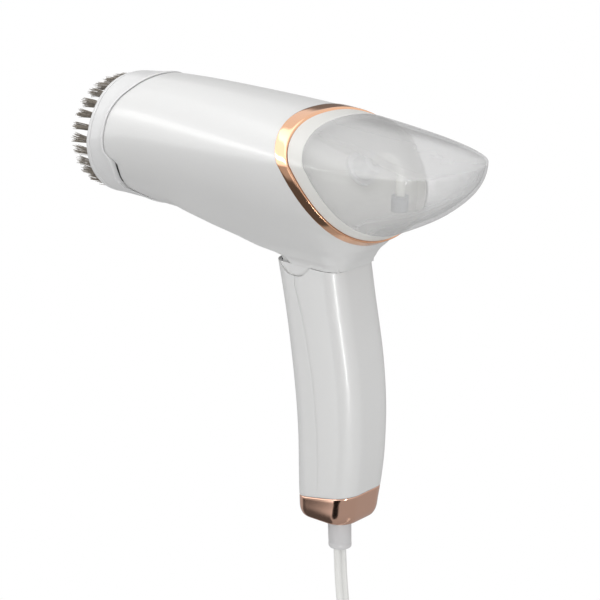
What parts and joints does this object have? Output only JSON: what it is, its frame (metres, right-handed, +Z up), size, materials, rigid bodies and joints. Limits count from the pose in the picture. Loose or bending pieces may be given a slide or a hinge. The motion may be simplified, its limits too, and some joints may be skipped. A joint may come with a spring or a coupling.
{
  "type": "handheld garment steamer",
  "caption": "Handheld garment steamer: round brush-ringed steam head, oval barrel with metallised ring, clear clip-on water tank, folding pistol handle and corded plug.",
  "frame": {"origin": "centre of the steam plate's front face, where the steam leaves", "axes": "+X from the steam plate back to the tank, +Z up, handle down -Z, steam leaves along -X"},
  "size_m": [0.2893, 0.0926, 0.3379],
  "materials": {
    "barrel_housing": "gloss",
    "brush_frame": "gloss",
    "brush_tufts": "satin",
    "steam_plate": "satin",
    "plate_gasket": "matte",
    "plate_holder": "satin",
    "plate_screws": "satin",
    "steam_duct": "matte",
    "boiler_body": "satin",
    "boiler_gasket": "matte",
    "boiler_cover": "satin",
    "cover_screws": "satin",
    "heating_element": "satin",
    "thermostat": "satin",
    "thermal_fuse": "satin",
    "pump_body": "satin",
    "pump_coil": "polished",
    "pump_piston": "satin",
    "pump_spring": "satin",
    "inlet_tube": "matte",
    "gold_ring": "metallised rose gold",
    "rear_bulkhead": "gloss",
    "water_socket": "satin",
    "socket_seal": "matte",
    "suction_hose": "matte",
    "tank_collar": "gloss",
    "tank_shell": "gloss",
    "tank_valve_body": "satin",
    "tank_valve_stem": "satin",
    "tank_valve_spring": "satin",
    "valve_cage": "satin",
    "intake_tube": "matte",
    "intake_filter": "satin",
    "hinge_yoke": "satin",
    "fold_pins": "satin",
    "fold_knuckle": "satin",
    "handle_front_shell": "gloss",
    "handle_rear_shell": "gloss",
    "shell_screws": "satin",
    "trigger": "satin",
    "trigger_spring": "satin",
    "microswitch": "satin",
    "switch_plunger": "satin",
    "power_button": "gloss",
    "power_switch": "satin",
    "indicator_lens": "gloss",
    "circuit_board": "satin",
    "relay": "satin",
    "end_cap": "metallised rose gold",
    "swivel_socket": "satin",
    "strain_relief": "matte",
    "cord": "matte",
    "plug_body": "gloss",
    "plug_pins": "polished",
    "earth_clips": "satin"
  },
  "bodies": {
    "handle": {"handle_front_shell": "handle_front_shell", "handle_rear_shell": "handle_rear_shell", "shell_screws": "shell_screws", "fold_knuckle": "fold_knuckle", "microswitch": "microswitch", "power_switch": "power_switch", "indicator_lens": "indicator_lens", "circuit_board": "circuit_board", "relay": "relay", "end_cap": "end_cap", "swivel_socket": "swivel_socket"},
    "head": {"barrel_housing": "barrel_housing", "steam_plate": "steam_plate", "plate_gasket": "plate_gasket", "plate_holder": "plate_holder", "plate_screws": "plate_screws", "steam_duct": "steam_duct", "boiler_body": "boiler_body", "boiler_gasket": "boiler_gasket", "boiler_cover": "boiler_cover", "cover_screws": "cover_screws", "heating_element": "heating_element", "thermostat": "thermostat", "thermal_fuse": "thermal_fuse", "pump_body": "pump_body", "pump_coil": "pump_coil", "pump_spring": "pump_spring", "inlet_tube": "inlet_tube", "suction_hose": "suction_hose", "gold_ring": "gold_ring", "rear_bulkhead": "rear_bulkhead", "water_socket": "water_socket", "socket_seal": "socket_seal", "hinge_yoke": "hinge_yoke", "fold_pins": "fold_pins"},
    "brush": {"brush_frame": "brush_frame", "brush_tufts": "brush_tufts"},
    "tank": {"tank_collar": "tank_collar", "tank_shell": "tank_shell", "tank_valve_body": "tank_valve_body", "valve_cage": "valve_cage", "intake_tube": "intake_tube", "intake_filter": "intake_filter"},
    "tank_valve": {"tank_valve_stem": "tank_valve_stem", "tank_valve_spring": "tank_valve_spring"},
    "piston": {"pump_piston": "pump_piston"},
    "trigger_lever": {"trigger": "trigger", "trigger_spring": "trigger_spring"},
    "plunger": {"switch_plunger": "switch_plunger"},
    "power": {"power_button": "power_button"},
    "cord_set": {"strain_relief": "strain_relief", "cord": "cord", "plug_body": "plug_body", "plug_pins": "plug_pins", "earth_clips": "earth_clips"}
  },
  "joints": [
    {"name": "handle_fold", "type": "hinge", "parent": "handle", "child": "head", "pos_m": [0.1325, 0, -0.0391], "axis": [0, -1, 0], "range_deg": [0, 80], "stiffness_Nm_per_rad": 20},
    {"name": "brush_pull", "type": "slide", "parent": "head", "child": "brush", "axis": [-1, 0, 0], "range_m": [0, 0.03]},
    {"name": "tank_pull", "type": "slide", "parent": "head", "child": "tank", "axis": [0.8192, 0, 0.5736], "range_m": [0, 0.06]},
    {"name": "tank_valve_lift", "type": "slide", "parent": "tank", "child": "tank_valve", "axis": [0.8192, 0, 0.5736], "range_m": [0, 0.0015]},
    {"name": "pump_stroke", "type": "slide", "parent": "head", "child": "piston", "axis": [1, 0, 0], "range_m": [-0.0018, 0.0012]},
    {"name": "trigger_press", "type": "slide", "parent": "handle", "child": "trigger_lever", "axis": [1, 0, 0], "range_m": [0, 0.0035]},
    {"name": "switch_press", "type": "slide", "parent": "handle", "child": "plunger", "axis": [1, 0, 0], "range_m": [0, 0.0035]},
    {"name": "power_press", "type": "slide", "parent": "handle", "child": "power", "axis": [1, 0, 0], "range_m": [0, 0.0012]},
    {"name": "cord_swivel", "type": "hinge", "parent": "handle", "child": "cord_set", "pos_m": [0.152, 0, -0.1825], "axis": [0, 0, 1], "range_deg": [-170, 170]}
  ],
  "couplings": [
    {"joint": "switch_press", "follows": "trigger_press", "ratio": 1}
  ]
}
